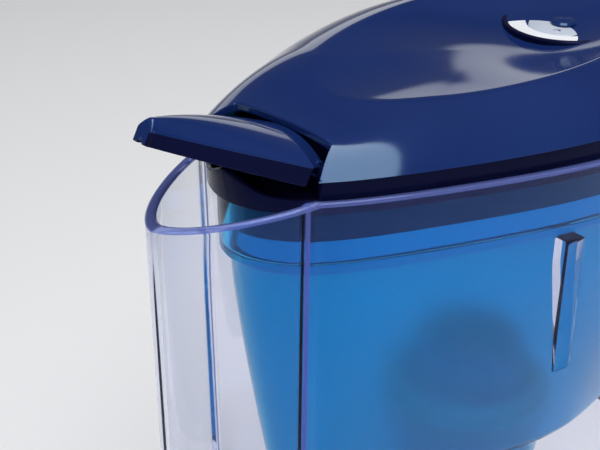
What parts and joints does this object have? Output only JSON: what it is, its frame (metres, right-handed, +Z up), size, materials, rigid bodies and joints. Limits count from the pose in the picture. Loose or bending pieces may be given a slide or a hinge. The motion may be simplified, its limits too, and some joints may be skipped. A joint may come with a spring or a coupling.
{
  "type": "water filter pitcher with flip lid",
  "caption": "Clear egg-shaped jug with a spout and handle, a tinted hopper holding a filter cartridge, and a domed lid with a pouring flap.",
  "frame": {"origin": "on the table under the middle of the egg-shaped body, at the bottom face of the base pad", "axes": "+X from the spout towards the handle, +Y towards the jug's right-hand side seen from behind the handle's far side, +Z up"},
  "size_m": [0.2799, 0.1192, 0.2469],
  "materials": {
    "clear_wall": "clear moulded plastic, polished",
    "blue_tint": "blue tinted clear plastic, polished",
    "lid_blue": "glossy moulded",
    "collar_blue": "satin gloss moulded",
    "dark_grip": "soft matt",
    "seal_rubber": "soft matt",
    "pin_steel": "drawn wire",
    "dial_white": "fine satin",
    "dial_grey": "fine satin",
    "filter_white": "fine satin",
    "filter_blue": "glossy moulded",
    "screen_mesh": "fine woven mesh",
    "carbon_grain": "loose black grains",
    "resin_grain": "loose amber beads"
  },
  "bodies": {
    "jug": {"jug": "clear_wall", "handle_grip": "dark_grip", "base_pad": "dark_grip"},
    "hopper": {"hopper": "blue_tint", "socket_seal": "seal_rubber"},
    "cartridge": {"filter_shell": "filter_white", "filter_cap": "filter_blue", "top_screen": "screen_mesh", "carbon_bed": "carbon_grain", "bed_divider": "screen_mesh", "resin_bed": "resin_grain", "bottom_screen": "screen_mesh", "filter_base": "filter_white", "pull_tab": "filter_blue"},
    "lid": {"lid_shell": "lid_blue", "lid_collar": "collar_blue", "hinge_deck": "collar_blue", "dial_cup": "collar_blue", "dial_button": "lid_blue"},
    "flap": {"flap": "lid_blue", "hinge_pins": "pin_steel"},
    "day_ring": {"day_ring": "dial_white"},
    "month_disc": {"month_disc": "dial_grey"}
  },
  "joints": [
    {"name": "hopper_lift", "type": "slide", "parent": "jug", "child": "hopper", "axis": [0, 0, 1], "range_m": [0, 0.15]},
    {"name": "lid_lift", "type": "slide", "parent": "hopper", "child": "lid", "axis": [0, 0, 1], "range_m": [0, 0.06]},
    {"name": "cartridge_lift", "type": "slide", "parent": "hopper", "child": "cartridge", "axis": [0, 0, 1], "range_m": [0, 0.06]},
    {"name": "flap_hinge", "type": "hinge", "parent": "lid", "child": "flap", "pos_m": [-0.0851, 0, 0.2286], "axis": [0, 1, 0], "range_deg": [-29, 0]},
    {"name": "day_dial", "type": "hinge", "parent": "lid", "child": "day_ring", "pos_m": [0.0353, 0, 0.23], "axis": [0, 0, 1], "continuous": true},
    {"name": "month_dial", "type": "hinge", "parent": "lid", "child": "month_disc", "pos_m": [0.0353, 0, 0.23], "axis": [0, 0, 1], "continuous": true}
  ]
}
